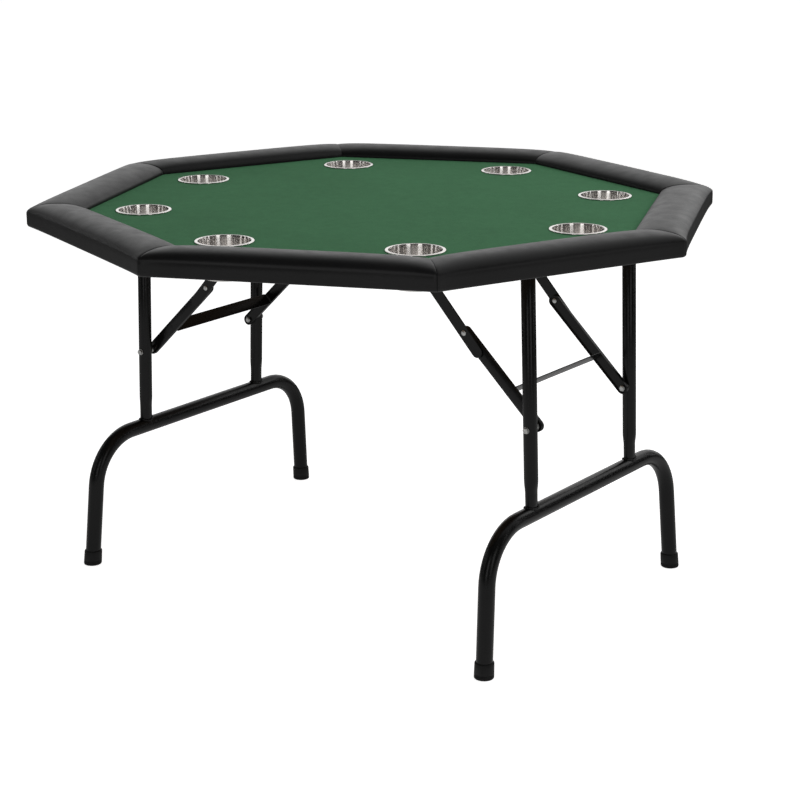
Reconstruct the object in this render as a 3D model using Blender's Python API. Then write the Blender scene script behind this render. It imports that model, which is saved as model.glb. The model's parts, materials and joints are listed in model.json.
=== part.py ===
"""Folding octagonal card table: padded rail, drop-in cup holders, two folding leg frames.

Metres, +Z up. The origin is on the floor under the middle of the top.
The leg frames stand at -X and +X and both fold inward under the top.
"""
import math

import bmesh
import bpy
from mathutils import Vector

MM = 0.001

# Driving dimensions, in millimetres.
SIDES = 8
APOTHEM = 600.0            # half of the width across the flats
OVERALL_HEIGHT = 749.3     # floor to the crest of the padded rail
FELT_TOP = 727.0
FELT_THICK = 1.5
BOARD_THICK = 13.2
RAIL_BOTTOM = 703.0
RAIL_BAND_TOP = 729.0      # where the flat side band of the rail ends
RAIL_CREST = 560.0         # apothem of the highest line of the rail
RAIL_INNER = 507.0         # apothem where the rail meets the felt
BOARD_APOTHEM = 540.0
RAIL_BASE_TOP = 726.0
COVER_THICK = 5.7          # foam and cover over the side of the wooden ring
RAIL_PINCH = 4.5           # how far the crest drops at the corner seams
GAP = 0.3                  # clearance between touching pieces

CUP_RING = 439.0           # distance of the cup axes from the middle
CUP_FLANGE_R = 51.5
CUP_OPENING_R = 47.2
CUP_BODY_R = 46.0
CUP_FLOOR_R = 44.0
CUP_DEPTH = 62.0
CUP_WALL = 0.9
HOLE_R = 49.0

HINGE_X = 444.6            # leg hinge axis, along Y
HINGE_Z = 692.0
SPLAY = math.radians(2.04)
FLARE = math.radians(5.2)
UPRIGHT_Y = 171.0
UPRIGHT_R = 12.7
TUBE_WALL = 1.5
BAR_Z = 251.0
FOOT_TUBE_R = 15.0
FOOT_Y = 330.0             # foot centre on the floor
BEND_R = 100.0
CAP_R = 17.75
CAP_HEIGHT = 29.0

BRACE_ON_LEG = 286.0       # hinge to the lower brace pivot, down the leg
BRACE_X = 170.0            # upper brace pivot under the top
BRACE_Z = 698.0
ELBOW_X = 303.0            # where the open brace locks, a little past straight
ELBOW_Z = 551.5
LINK_R = 11.0              # half of the width of a link
LINK_TAIL = 41.0           # upper link beyond the elbow
UPPER_LINK_Y = (UPRIGHT_Y - 18.5, UPRIGHT_Y - 15.5)
LOWER_LINK_Y = (UPRIGHT_Y - 27.5, UPRIGHT_Y - 18.9)
SADDLE_EAR_Y = (UPRIGHT_Y - 34.0, UPRIGHT_Y - 32.0)
SADDLE_REACH = UPRIGHT_Y - 15.0
LINK_SHEET = 2.0
STRIP_FROM_PIVOT = 77.0
STRIP_WIDTH = 25.0
STRIP_THICK = 1.8
PLATE_THICK = 1.8

BOARD_TOP = FELT_TOP - FELT_THICK - GAP
BOARD_BOTTOM = BOARD_TOP - BOARD_THICK
PLATE_TOP = BOARD_BOTTOM - GAP
SEGMENTS = 24
BOLT_SEGMENTS = 12
TUBE_SEGMENTS = 16

MATERIALS = {
    "green_felt": ((0.052, 0.115, 0.068), 0.0, 0.95),
    "black_vinyl": ((0.012, 0.012, 0.013), 0.0, 0.42),
    "brushed_cup_steel": ((0.62, 0.62, 0.61), 1.0, 0.28),
    "black_leg_paint": ((0.010, 0.010, 0.011), 0.2, 0.45),
    "black_cap_rubber": ((0.008, 0.008, 0.008), 0.0, 0.7),
    "zinc_bolt_steel": ((0.45, 0.45, 0.46), 1.0, 0.35),
    "board_wood": ((0.33, 0.22, 0.13), 0.0, 0.7),
}


def clear_scene():
    for obj in list(bpy.data.objects):
        bpy.data.objects.remove(obj, do_unlink=True)


def make_materials():
    made = {}
    for name, (colour, metallic, roughness) in MATERIALS.items():
        mat = bpy.data.materials.new(name)
        mat.use_nodes = True
        shader = mat.node_tree.nodes["Principled BSDF"]
        shader.inputs["Base Color"].default_value = (*colour, 1.0)
        shader.inputs["Metallic"].default_value = metallic
        shader.inputs["Roughness"].default_value = roughness
        made[name] = mat
    return made


def add_object(name, verts, faces, material=None, pivot=(0.0, 0.0, 0.0)):
    """Make a closed mesh object from millimetre points, with its origin at pivot."""
    origin = Vector(pivot)
    bm = bmesh.new()
    made = [bm.verts.new((Vector(v) - origin) * MM) for v in verts]
    for face in faces:
        bm.faces.new([made[i] for i in face])
    bmesh.ops.recalc_face_normals(bm, faces=bm.faces[:])
    mesh = bpy.data.meshes.new(name)
    bm.to_mesh(mesh)
    bm.free()
    obj = bpy.data.objects.new(name, mesh)
    obj.location = origin * MM
    bpy.context.scene.collection.objects.link(obj)
    if material is not None:
        mesh.materials.append(material)
    return obj


def loft(rings, closed=False):
    """Join equal rings of points into a skin; cap both ends unless it closes on itself."""
    count = len(rings[0])
    verts = [point for ring in rings for point in ring]
    faces = []
    spans = len(rings) if closed else len(rings) - 1
    for k in range(spans):
        near = k * count
        far = ((k + 1) % len(rings)) * count
        for i in range(count):
            j = (i + 1) % count
            faces.append((near + i, near + j, far + j, far + i))
    if not closed:
        faces.append(tuple(reversed(range(count))))
        faces.append(tuple(range(len(verts) - count, len(verts))))
    return verts, faces


def circle(radius, segments, hexagonal=False):
    """Points round a centre; a hexagonal one has its flats at the given radius."""
    points = []
    for i in range(segments):
        angle = 2.0 * math.pi * i / segments
        reach = radius
        if hexagonal:
            reach = radius / math.cos((angle % (math.pi / 3.0)) - math.pi / 6.0)
        points.append((reach * math.cos(angle), reach * math.sin(angle)))
    return points


def turned(name, x, z, side_y, stations, material, pivot, segments=BOLT_SEGMENTS):
    """A solid turned about a line along Y. stations hold (y, radius, hexagonal)."""
    rings = []
    for y, radius, hexagonal in stations:
        rings.append([(x + u, side_y * y, z + v) for u, v in circle(radius, segments, hexagonal)])
    return add_object(name, *loft(rings), material, pivot)


def box_mesh(x0, x1, y0, y1, z0, z1):
    rings = []
    for z in (z0, z1):
        rings.append([(x0, y0, z), (x1, y0, z), (x1, y1, z), (x0, y1, z)])
    return loft(rings)


def combine(target, cutter, operation):
    """Keep the cutter as a hidden wire object and apply it with an exact Boolean."""
    cutter.hide_render = True
    cutter.display_type = "WIRE"
    modifier = target.modifiers.new(operation.lower(), "BOOLEAN")
    modifier.operation = operation
    modifier.solver = "EXACT"
    modifier.object = cutter


def drill(target, x, z, y0, y1, radius):
    """Drill a hole along Y."""
    rings = []
    for y in (y0, y1):
        rings.append([(x + u, y, z + v) for u, v in circle(radius, BOLT_SEGMENTS)])
    cutter = add_object(target.name + ".drill", *loft(rings))
    combine(target, cutter, "DIFFERENCE")


def octagon(apothem, z):
    """The corners lie on the X and Y axes and on the diagonals."""
    reach = apothem / math.cos(math.pi / SIDES)
    corners = []
    for k in range(SIDES):
        angle = 2.0 * math.pi * k / SIDES
        corners.append((reach * math.cos(angle), reach * math.sin(angle), z))
    return corners


def cup_centres():
    centres = []
    for k in range(SIDES):
        angle = 2.0 * math.pi * k / SIDES
        centres.append((CUP_RING * math.cos(angle), CUP_RING * math.sin(angle)))
    return centres


def slab_with_cup_holes(name, apothem, bottom, top, material):
    """An octagonal slab with a round hole for each cup holder."""
    slab = add_object(name, *loft([octagon(apothem, bottom), octagon(apothem, top)]), material)
    verts = []
    faces = []
    for cx, cy in cup_centres():
        rings = []
        for z in (bottom - 5.0, top + 5.0):
            rings.append([(cx + u, cy + v, z) for u, v in circle(HOLE_R, SEGMENTS)])
        ring_verts, ring_faces = loft(rings)
        faces += [tuple(i + len(verts) for i in face) for face in ring_faces]
        verts += ring_verts
    combine(slab, add_object(name + ".holes", verts, faces), "DIFFERENCE")
    return slab


def make_rail_base(material):
    """A wooden ring under the padding, outside the board."""
    inner = BOARD_APOTHEM + GAP
    outer = APOTHEM - COVER_THICK - GAP
    low = RAIL_BOTTOM + GAP
    high = RAIL_BASE_TOP
    rings = [octagon(inner, low), octagon(outer, low), octagon(outer, high), octagon(inner, high)]
    return add_object("rail_base", *loft(rings, closed=True), material)


def arc(centre, radii, start, end, count):
    points = []
    for i in range(count):
        angle = math.radians(start + (end - start) * i / (count - 1))
        points.append((centre[0] + radii[0] * math.cos(angle), centre[1] + radii[1] * math.sin(angle)))
    return points


def rail_outline(pinch):
    """Section of one padded side as (apothem, height), from the outer bottom edge round."""
    crest = OVERALL_HEIGHT - pinch
    shoulder = RAIL_BAND_TOP + 1.0
    points = [(APOTHEM, RAIL_BOTTOM), (APOTHEM, RAIL_BAND_TOP)]
    points += arc((RAIL_CREST, shoulder), (APOTHEM - RAIL_CREST, crest - shoulder), 8, 90, 7)
    inner_shoulder = FELT_TOP + 5.0
    points += arc((RAIL_CREST, inner_shoulder), (RAIL_CREST - RAIL_INNER, crest - inner_shoulder), 98, 176, 7)
    points += [
        (RAIL_INNER, BOARD_TOP + GAP),
        (BOARD_APOTHEM, BOARD_TOP + GAP),
        (BOARD_APOTHEM, RAIL_BASE_TOP + GAP),
        (APOTHEM - COVER_THICK, RAIL_BASE_TOP + GAP),
        (APOTHEM - COVER_THICK, RAIL_BOTTOM),
    ]
    return points


def make_rail_pad(index, material):
    """One side of the padded rail, mitred at both ends and fuller in its middle."""
    normal = 2.0 * math.pi * (index + 0.5) / SIDES
    across = (math.cos(normal), math.sin(normal))
    along = (-across[1], across[0])
    half_turn = math.tan(math.pi / SIDES)
    rings = []
    for share in (-1.0, -0.93, -0.75, 0.0, 0.75, 0.93, 1.0):
        pinch = RAIL_PINCH * abs(share) ** 8
        ring = []
        for reach, z in rail_outline(pinch):
            t = share * (reach * half_turn - GAP)
            ring.append((reach * across[0] + t * along[0], reach * across[1] + t * along[1], z))
        rings.append(ring)
    return add_object("rail_pad_%d" % (index + 1), *loft(rings), material)


def make_cup_holder(index, centre, material):
    """A drop-in cup: rolled flange on the felt and a tapered, open-topped body."""
    top = FELT_TOP + 2.4
    under = FELT_TOP + GAP
    floor = FELT_TOP - CUP_DEPTH
    profile = [
        (CUP_FLOOR_R - 6.0, floor),
        (CUP_FLOOR_R - 1.5, floor + 1.8),
        (CUP_FLOOR_R, floor + 6.0),
        (CUP_BODY_R, under),
        (CUP_FLANGE_R - 0.4, under),
        (CUP_FLANGE_R, under + 0.9),
        (CUP_FLANGE_R - 1.8, top),
        (CUP_OPENING_R, top - 0.3),
        (CUP_BODY_R - CUP_WALL, under - 2.0),
        (CUP_FLOOR_R - CUP_WALL, floor + 6.4),
        (CUP_FLOOR_R - 2.4, floor + 2.6),
        (CUP_FLOOR_R - 6.4, floor + CUP_WALL),
    ]
    rings = []
    for radius, z in profile:
        rings.append([(centre[0] + u, centre[1] + v, z) for u, v in circle(radius, SEGMENTS)])
    verts, faces = loft(rings)
    return add_object("cup_holder_%d" % (index + 1), verts, faces, material)


def leg_x(side, z):
    """X of the sloping leg plane at a height."""
    return side * (HINGE_X + (HINGE_Z - z) * math.tan(SPLAY))


def swept_tube(name, path, sections, wall, side, material, pivot):
    """A hollow tube along a path in the leg plane, open at both ends.

    sections hold the outer half widths (across the leg plane, in the leg plane).
    """
    normal = Vector((math.cos(SPLAY) * side, 0.0, math.sin(SPLAY)))
    outer = []
    inner = []
    for k, point in enumerate(path):
        ahead = path[min(k + 1, len(path) - 1)]
        behind = path[max(k - 1, 0)]
        tangent = (Vector(ahead) - Vector(behind)).normalized()
        in_plane = tangent.cross(normal)
        for rings, less in ((outer, 0.0), (inner, wall)):
            ring = []
            for u, v in circle(1.0, TUBE_SEGMENTS):
                shift = normal * u * (sections[k][0] - less) + in_plane * v * (sections[k][1] - less)
                ring.append(tuple(Vector(point) + shift))
            rings.append(ring)
    verts, faces = loft(outer + inner[::-1], closed=True)
    return add_object(name, verts, faces, material, pivot)


def foot_tube_path(side):
    """Centre line of the inverted U: leg, bend, bar, bend, leg."""
    slope = math.tan(FLARE)
    corner_y = FOOT_Y - BAR_Z * slope
    turn = math.pi / 2.0 - FLARE
    tangent = BEND_R * math.tan(turn / 2.0)
    bend_y = corner_y - tangent
    half = [(FOOT_Y - 6.2 * slope, 6.2), (FOOT_Y - 90.0 * slope, 90.0)]
    for i in range(7):
        angle = turn * (1.0 - i / 6.0)
        half.append((bend_y + BEND_R * math.sin(angle), BAR_Z - BEND_R * (1.0 - math.cos(angle))))
    half.append((UPRIGHT_Y - 40.0, BAR_Z))
    other = [(-y, z) for y, z in half[::-1]]
    return [(leg_x(side, z), y, z) for y, z in half + other]


def make_foot_cap(name, side, side_y, material, pivot):
    """A rubber cap with a flat sole, wider than the tube end it covers."""
    tube_gap = FOOT_TUBE_R + 0.45
    stations = [
        (0.0, CAP_R - 1.2),
        (1.5, CAP_R),
        (CAP_HEIGHT - 1.5, CAP_R),
        (CAP_HEIGHT, CAP_R - 1.0),
        (CAP_HEIGHT, tube_gap),
        (4.0, tube_gap),
    ]
    rings = []
    for z, radius in stations:
        cx = leg_x(side, z)
        cy = side_y * (FOOT_Y - z * math.tan(FLARE))
        rings.append([(cx + u, cy + v, z) for u, v in circle(radius, SEGMENTS)])
    return add_object(name, *loft(rings), material, pivot)


def brace_points(side):
    """Lower pivot, elbow and upper pivot of the open brace, as (x, z)."""
    lower = (
        side * (HINGE_X + BRACE_ON_LEG * math.sin(SPLAY)),
        HINGE_Z - BRACE_ON_LEG * math.cos(SPLAY),
    )
    elbow = (side * ELBOW_X, ELBOW_Z)
    upper = (side * BRACE_X, BRACE_Z)
    return lower, elbow, upper


def slot_ring(start, end, radius, y):
    """A slot outline round two points of the XZ plane, at one depth along Y."""
    heading = math.atan2(end[1] - start[1], end[0] - start[0])
    points = []
    for centre, first in ((end, -90.0), (start, 90.0)):
        for i in range(9):
            angle = heading + math.radians(first + 180.0 * i / 8.0)
            points.append((centre[0] + radius * math.cos(angle), y, centre[1] + radius * math.sin(angle)))
    return points


def make_upper_link(name, side, side_y, material):
    """A flat bar from the upper pivot past the elbow; its tail lies along the lower link."""
    lower, elbow, upper = brace_points(side)
    length = math.dist(elbow, upper)
    share = (length + LINK_TAIL) / length
    tail = (upper[0] + (elbow[0] - upper[0]) * share, upper[1] + (elbow[1] - upper[1]) * share)
    y0, y1 = (side_y * y for y in UPPER_LINK_Y)
    rings = [slot_ring(upper, tail, LINK_R, y0), slot_ring(upper, tail, LINK_R, y1)]
    pivot = (upper[0], 0.0, upper[1])
    link = add_object(name, *loft(rings), material, pivot)
    drill(link, upper[0], upper[1], y0 - side_y * 2.0, y1 + side_y * 2.0, 4.3)
    drill(link, elbow[0], elbow[1], y0 - side_y * 2.0, y1 + side_y * 2.0, 3.8)
    return link


def make_lower_link(name, side, side_y, material):
    """A pressed channel from the leg to the elbow, with its hollow side facing inward."""
    lower, elbow, upper = brace_points(side)
    inner_y, web_y = LOWER_LINK_Y
    floor_y = web_y - LINK_SHEET
    boss_y = floor_y - 2.4
    rings = [
        slot_ring(lower, elbow, LINK_R, side_y * web_y),
        slot_ring(lower, elbow, LINK_R, side_y * inner_y),
        slot_ring(lower, elbow, LINK_R - LINK_SHEET, side_y * inner_y),
        slot_ring(lower, elbow, LINK_R - LINK_SHEET, side_y * floor_y),
    ]
    pivot = (lower[0], 0.0, lower[1])
    link = add_object(name, *loft(rings), material, pivot)
    boss_rings = []
    for y in (floor_y + 1.0, boss_y):
        boss_rings.append([(elbow[0] + u, side_y * y, elbow[1] + v) for u, v in circle(6.0, BOLT_SEGMENTS)])
    combine(link, add_object(name + ".boss", *loft(boss_rings)), "UNION")
    drill(link, lower[0], lower[1], side_y * (web_y + 1.0), side_y * (floor_y - 1.0), 4.4)
    return link


def make_cross_strip(name, side, material):
    """A flat strip on edge that ties the two lower links of one frame together."""
    lower, elbow, upper = brace_points(side)
    length = math.dist(lower, elbow)
    d = ((elbow[0] - lower[0]) / length, (elbow[1] - lower[1]) / length)
    n = (-d[1], d[0])
    reach = LOWER_LINK_Y[0] - GAP
    rings = []
    for y in (-reach, reach):
        ring = []
        for a, b in ((-1, -1), (1, -1), (1, 1), (-1, 1)):
            u = STRIP_FROM_PIVOT + a * STRIP_THICK / 2.0
            v = b * STRIP_WIDTH / 2.0
            ring.append((lower[0] + u * d[0] + v * n[0], y, lower[1] + u * d[1] + v * n[1]))
        rings.append(ring)
    return add_object(name, *loft(rings), material, (lower[0], 0.0, lower[1]))


def ear_mesh(x, z, y0, y1, half_width, top):
    """A cheek plate with a round lower end, reaching up to a plate."""
    rings = []
    for y in (y0, y1):
        ring = [(x - half_width, y, top), (x - half_width, y, z)]
        for i in range(1, 8):
            angle = math.pi + math.pi * i / 8.0
            ring.append((x + half_width * math.cos(angle), y, z + half_width * math.sin(angle)))
        ring += [(x + half_width, y, z), (x + half_width, y, top)]
        rings.append(ring)
    return loft(rings)


def make_brace_saddle(name, side, material):
    """One cleat under the board with an ear at each end for the upper pivot rod."""
    x = side * BRACE_X
    low = PLATE_TOP - PLATE_THICK
    plate = add_object(name, *box_mesh(x - 20.0, x + 20.0, -SADDLE_REACH, SADDLE_REACH, low, PLATE_TOP), material)
    for side_y in (-1.0, 1.0):
        y0, y1 = sorted(side_y * y for y in SADDLE_EAR_Y)
        ear = add_object(name + ".ear", *ear_mesh(x, BRACE_Z, y0, y1, 9.0, PLATE_TOP - 0.9))
        combine(plate, ear, "UNION")
    drill(plate, x, BRACE_Z, -SADDLE_REACH, SADDLE_REACH, 4.3)
    return plate


def make_hinge_bracket(name, side, side_y, material):
    """A U bracket: plate on the board, two cheeks and an outer web that stops the leg."""
    x = side * HINGE_X
    y = side_y * UPRIGHT_Y
    low = PLATE_TOP - PLATE_THICK
    plate = add_object(name, *box_mesh(x - 22.0, x + 22.0, y - 27.0, y + 27.0, low, PLATE_TOP), material)
    inner = UPRIGHT_R + 0.5
    outer = inner + 2.0
    for sign in (-1.0, 1.0):
        y0, y1 = sorted((y + sign * inner, y + sign * outer))
        cheek = add_object(name + ".cheek", *ear_mesh(x, HINGE_Z, y0, y1, 11.0, PLATE_TOP - 0.9))
        combine(plate, cheek, "UNION")
    x0, x1 = sorted((side * (HINGE_X + 14.6), side * (HINGE_X + 16.6)))
    web = add_object(name + ".web", *box_mesh(x0, x1, y - outer, y + outer, HINGE_Z - 6.0, PLATE_TOP - 0.9))
    combine(plate, web, "UNION")
    bridge_x = sorted((side * (HINGE_X + 8.0), side * (HINGE_X + 16.6)))
    for sign in (-1.0, 1.0):
        y0, y1 = sorted((y + sign * (inner + 0.01), y + sign * (outer - 0.01)))
        bridge = box_mesh(bridge_x[0], bridge_x[1], y0, y1, HINGE_Z - 5.0, PLATE_TOP - 1.0)
        combine(plate, add_object(name + ".bridge", *bridge), "UNION")
    drill(plate, x, HINGE_Z, y - 20.0, y + 20.0, 4.3)
    return plate


def from_upright(stations):
    """Turned stations given as distances outward from the middle of an upright."""
    return [(UPRIGHT_Y + y, radius, hexagonal) for y, radius, hexagonal in stations]


def make_leg_frame(side, label, mats):
    paint = mats["black_leg_paint"]
    zinc = mats["zinc_bolt_steel"]
    hinge = (side * HINGE_X, 0.0, HINGE_Z)
    lower, elbow, upper = brace_points(side)
    path = foot_tube_path(side)
    sections = [(FOOT_TUBE_R, FOOT_TUBE_R)] * len(path)
    swept_tube("foot_tube_" + label, path, sections, TUBE_WALL, side, paint, hinge)
    make_cross_strip("cross_strip_" + label, side, paint)
    make_brace_saddle("brace_saddle_" + label, side, paint)
    head = UPPER_LINK_Y[1] + GAP
    rod = [(head, 4.0), (head, 6.5), (head + 1.8, 6.5)]
    stations = [(-y, radius, False) for y, radius in rod[::-1]] + [(y, radius, False) for y, radius in rod]
    turned("brace_rod_" + label, upper[0], upper[1], 1.0, stations, zinc, (upper[0], 0.0, upper[1]))

    for side_y, place in ((-1.0, "front"), (1.0, "rear")):
        tag = label + "_" + place
        foot = BAR_Z + FOOT_TUBE_R + GAP
        heights = [foot, foot + 26.0, foot + 46.0, HINGE_Z + 6.0]
        crimp = (9.6, 13.8)
        full = (UPRIGHT_R, UPRIGHT_R)
        line = [(leg_x(side, z), side_y * UPRIGHT_Y, z) for z in heights]
        upright = swept_tube("upright_" + tag, line, [crimp, crimp, full, full], TUBE_WALL, side, paint, hinge)
        y_in = side_y * (UPRIGHT_Y - 20.0)
        y_out = side_y * (UPRIGHT_Y + 20.0)
        drill(upright, hinge[0], hinge[2], y_in, y_out, 4.3)
        drill(upright, lower[0], lower[1], y_in, y_out, 4.3)
        make_foot_cap("foot_cap_" + tag, side, side_y, mats["black_cap_rubber"], hinge)
        make_hinge_bracket("hinge_bracket_" + tag, side, side_y, paint)
        hinge_bolt = from_upright([
            (20.5, 6.5, True), (15.5, 6.5, True), (15.5, 4.0, False), (-15.5, 4.0, False),
            (-15.5, 6.5, True), (-20.5, 6.5, True), (-20.5, 4.0, False), (-22.0, 4.0, False),
        ])
        turned("hinge_bolt_" + tag, hinge[0], hinge[2], side_y, hinge_bolt, zinc, (0.0, 0.0, 0.0))
        brace_bolt = from_upright([
            (18.0, 5.2, True), (13.1, 5.2, True), (13.1, 4.0, False), (-13.0, 4.0, False),
            (-13.0, 7.0, False), (-18.6, 7.0, False), (-18.6, 4.0, False), (-21.2, 4.0, False),
            (-21.2, 5.8, True), (-25.8, 5.8, True), (-25.8, 4.0, False), (-27.0, 4.0, False),
        ])
        turned("brace_bolt_" + tag, lower[0], lower[1], side_y, brace_bolt, zinc, hinge)
        make_upper_link("upper_link_" + tag, side, side_y, paint)
        make_lower_link("lower_link_" + tag, side, side_y, paint)
        rivet = from_upright([
            (-13.3, 3.8, False), (-14.1, 5.0, False), (-15.2, 5.0, False), (-15.2, 3.5, False), (-18.4, 3.5, False),
        ])
        turned("elbow_rivet_" + tag, elbow[0], elbow[1], side_y, rivet, zinc, (upper[0], 0.0, upper[1]))


def main():
    clear_scene()
    mats = make_materials()
    slab_with_cup_holes("tabletop_board", BOARD_APOTHEM, BOARD_BOTTOM, BOARD_TOP, mats["board_wood"])
    slab_with_cup_holes("playing_felt", RAIL_INNER - GAP, FELT_TOP - FELT_THICK, FELT_TOP, mats["green_felt"])
    make_rail_base(mats["board_wood"])
    for index in range(SIDES):
        make_rail_pad(index, mats["black_vinyl"])
    for index, centre in enumerate(cup_centres()):
        make_cup_holder(index, centre, mats["brushed_cup_steel"])
    make_leg_frame(-1.0, "left", mats)
    make_leg_frame(1.0, "right", mats)


main()
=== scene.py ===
"""Looks for the folding octagonal card table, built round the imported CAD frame.

Metres, +Z up, in the CAD's own frame. Positions are read from the CAD boxes.
"""
import json
import math
import random

import bmesh
import bpy
from mathutils import Matrix, Vector, noise


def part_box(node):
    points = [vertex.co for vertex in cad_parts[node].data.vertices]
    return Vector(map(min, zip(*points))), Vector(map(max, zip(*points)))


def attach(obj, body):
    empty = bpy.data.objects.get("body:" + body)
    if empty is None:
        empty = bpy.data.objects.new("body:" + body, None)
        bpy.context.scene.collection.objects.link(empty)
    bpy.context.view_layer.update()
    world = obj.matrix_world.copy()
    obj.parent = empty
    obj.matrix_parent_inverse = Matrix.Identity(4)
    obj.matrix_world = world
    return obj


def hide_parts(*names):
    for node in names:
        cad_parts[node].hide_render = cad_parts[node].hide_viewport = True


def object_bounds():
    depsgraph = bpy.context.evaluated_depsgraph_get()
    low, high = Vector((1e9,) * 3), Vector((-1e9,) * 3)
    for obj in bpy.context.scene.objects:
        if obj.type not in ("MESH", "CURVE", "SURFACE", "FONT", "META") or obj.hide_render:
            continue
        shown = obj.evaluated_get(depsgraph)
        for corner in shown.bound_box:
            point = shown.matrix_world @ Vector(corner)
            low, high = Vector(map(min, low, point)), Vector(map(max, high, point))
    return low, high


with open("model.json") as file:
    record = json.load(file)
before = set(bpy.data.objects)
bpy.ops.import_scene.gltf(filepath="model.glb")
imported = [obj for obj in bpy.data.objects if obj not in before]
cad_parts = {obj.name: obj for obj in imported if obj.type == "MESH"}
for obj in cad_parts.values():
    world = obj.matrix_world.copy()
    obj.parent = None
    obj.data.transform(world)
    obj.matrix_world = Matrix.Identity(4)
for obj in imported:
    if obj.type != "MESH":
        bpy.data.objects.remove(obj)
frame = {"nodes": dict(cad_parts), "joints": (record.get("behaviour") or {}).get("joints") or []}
cad_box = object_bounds()

MM = 0.001
SIDES = 8
HALF_TURN = math.pi / SIDES
TOP = "table_top"
YAW = math.radians(36.287)    # the camera's heading, anticlockwise from +Y
TO_CAMERA = Vector((math.sin(YAW), -math.cos(YAW), 0.0))
FLOOR_SEEN = 0.86             # the floor's own glow in the camera's rays
FLOOR_GLOW = (0.08, 0.76)     # and in all other rays, behind the table and in front of it
FLOOR_RUN = (-2.2, 0.6)       # where that glow starts and ends, in metres towards the camera


# -------- materials

def dot_with(tree, coords, direction):
    node = tree.nodes.new("ShaderNodeVectorMath")
    node.operation = "DOT_PRODUCT"
    node.inputs[1].default_value = direction
    tree.links.new(coords, node.inputs[0])
    return node.outputs["Value"]


def map_range(tree, value, low, high, from_low, from_high, kind="LINEAR"):
    node = tree.nodes.new("ShaderNodeMapRange")
    node.interpolation_type = kind
    for key, number in (("From Min", from_low), ("From Max", from_high),
                        ("To Min", low), ("To Max", high)):
        node.inputs[key].default_value = number
    tree.links.new(value, node.inputs["Value"])
    return node.outputs["Result"]


def split_for_camera(tree, seen, otherwise, output):
    """One shader for the camera's own rays, and another for every other ray."""
    path = tree.nodes.new("ShaderNodeLightPath")
    mix = tree.nodes.new("ShaderNodeMixShader")
    tree.links.new(path.outputs["Is Camera Ray"], mix.inputs["Fac"])
    tree.links.new(otherwise, mix.inputs[1])
    tree.links.new(seen, mix.inputs[2])
    tree.links.new(mix.outputs["Shader"], tree.nodes[output].inputs["Surface"])


class Shader:
    """A small helper that grows one procedural material."""

    def __init__(self, name):
        self.mat = bpy.data.materials.new(name)
        self.mat.use_nodes = True
        self.tree = self.mat.node_tree
        self.nodes = self.tree.nodes
        self.links = self.tree.links
        self.bsdf = self.nodes["Principled BSDF"]
        self.coords = self.nodes.new("ShaderNodeTexCoord").outputs["Object"]
        self.height = None

    def set(self, **values):
        for key, value in values.items():
            self.bsdf.inputs[key.replace("_", " ")].default_value = value
        return self

    def stretched(self, scale):
        node = self.nodes.new("ShaderNodeMapping")
        node.inputs["Scale"].default_value = scale
        self.links.new(self.coords, node.inputs["Vector"])
        return node.outputs["Vector"]

    def noise(self, scale, detail=3.0, rough=0.55, vector=None, distortion=0.0):
        node = self.nodes.new("ShaderNodeTexNoise")
        node.inputs["Scale"].default_value = scale
        node.inputs["Detail"].default_value = detail
        node.inputs["Roughness"].default_value = rough
        node.inputs["Distortion"].default_value = distortion
        self.links.new(vector or self.coords, node.inputs["Vector"])
        return node.outputs["Fac"]

    def cells(self, scale, feature="DISTANCE_TO_EDGE"):
        node = self.nodes.new("ShaderNodeTexVoronoi")
        node.feature = feature
        node.inputs["Scale"].default_value = scale
        self.links.new(self.coords, node.inputs["Vector"])
        return node.outputs["Distance"]

    def ramp(self, fac, stops):
        node = self.nodes.new("ShaderNodeValToRGB")
        elements = node.color_ramp.elements
        while len(elements) < len(stops):
            elements.new(0.5)
        for element, (place, colour) in zip(elements, stops):
            element.position = place
            element.color = (*colour, 1.0)
        self.links.new(fac, node.inputs["Fac"])
        return node.outputs["Color"]

    def span(self, fac, low, high, from_low=0.3, from_high=0.7):
        return map_range(self.tree, fac, low, high, from_low, from_high)

    def mix(self, fac, a, b, blend="MIX"):
        node = self.nodes.new("ShaderNodeMix")
        node.data_type = "RGBA"
        node.blend_type = blend
        for socket, value in (("Factor", fac), ("A", a), ("B", b)):
            target = next(i for i in node.inputs if i.name == socket and i.enabled)
            if isinstance(value, (int, float)):
                target.default_value = value
            elif isinstance(value, tuple):
                target.default_value = (*value, 1.0)
            else:
                self.links.new(value, target)
        return next(o for o in node.outputs if o.enabled)

    def bump(self, fac, strength, distance):
        node = self.nodes.new("ShaderNodeBump")
        node.inputs["Strength"].default_value = strength
        node.inputs["Distance"].default_value = distance
        self.links.new(fac, node.inputs["Height"])
        if self.height is not None:
            self.links.new(self.height, node.inputs["Normal"])
        self.height = node.outputs["Normal"]
        self.links.new(self.height, self.bsdf.inputs["Normal"])
        return self

    def into(self, socket, value):
        self.links.new(value, self.bsdf.inputs[socket])
        return self


def grey(value, tint=(1.0, 1.0, 1.0)):
    return tuple(value * t for t in tint)


def make_vinyl():
    """Black faux leather: soft pebble grain, faint pulls and a low sheen."""
    s = Shader("black_vinyl_grain").set(Specular_IOR_Level=0.18)
    shades = [(0.3, grey(0.0075)), (0.7, grey(0.0100, (1.0, 0.99, 1.02)))]
    s.into("Base Color", s.ramp(s.noise(6.0, 2.0), shades))
    s.into("Roughness", s.span(s.noise(38.0, 3.0), 0.34, 0.42))
    s.bump(s.noise(16.0, 2.0), 0.08, 0.0012)
    s.bump(s.cells(620.0), 0.28, 0.00020)
    s.bump(s.noise(420.0, 4.0), 0.12, 0.00012)
    return s.mat


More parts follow.
